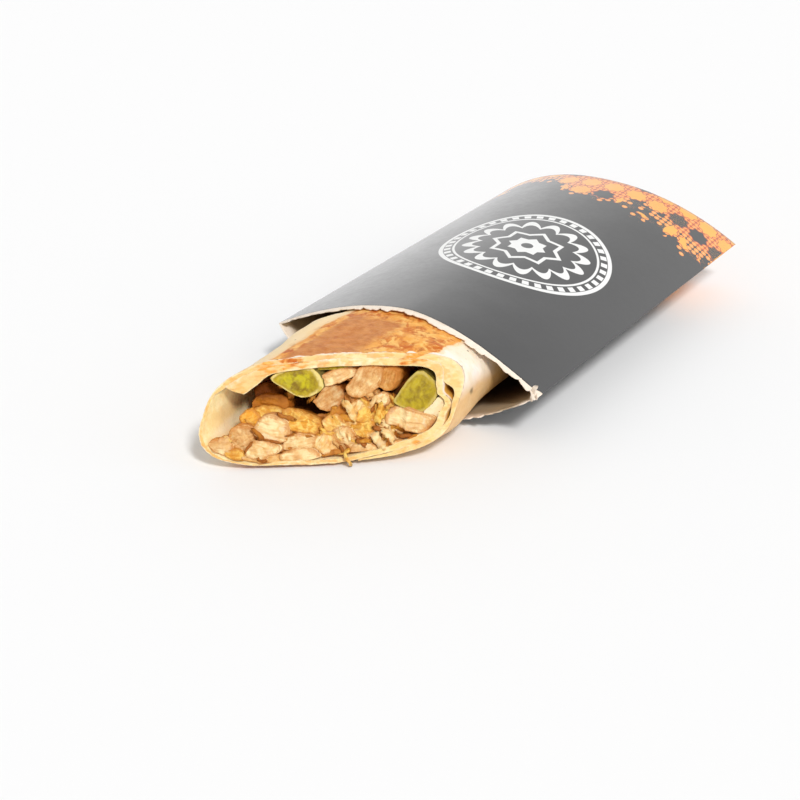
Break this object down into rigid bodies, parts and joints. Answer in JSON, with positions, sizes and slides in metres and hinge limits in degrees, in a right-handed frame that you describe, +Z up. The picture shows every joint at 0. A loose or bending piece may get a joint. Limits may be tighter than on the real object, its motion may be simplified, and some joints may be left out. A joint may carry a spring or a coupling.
{
  "type": "chicken shawarma wrap",
  "caption": "Half of a rolled flatbread with chicken and pickles, cut on the slant, lying in a pillow-shaped card sleeve with a torn mouth and a closed end.",
  "frame": {"origin": "centre of the bounding box's base, on the surface that the sleeve lies on", "axes": "+Y along the sleeve from its mouth to its closed end, +Z up, +X to the right as seen from the mouth"},
  "size_m": [0.1, 0.2416, 0.035],
  "materials": {
    "card": "gloss black outside with an orange pattern at the closed end, uncoated cream inside",
    "bread": "soft baked flatbread with browned spots",
    "chicken": "moist roasted meat",
    "pickle": "wet pickled cucumber"
  },
  "bodies": {
    "root": {"sleeve": "card", "flatbread": "bread", "chicken_filling": "chicken", "chicken_top": "chicken", "chicken_strip": "chicken", "chicken_hanging": "chicken", "chicken_slab": "chicken", "chicken_left": "chicken", "chicken_gold": "chicken", "chicken_cube": "chicken", "chicken_slice": "chicken", "pickle_left": "pickle", "pickle_right": "pickle", "pickle_sliver": "pickle"}
  },
  "joints": []
}
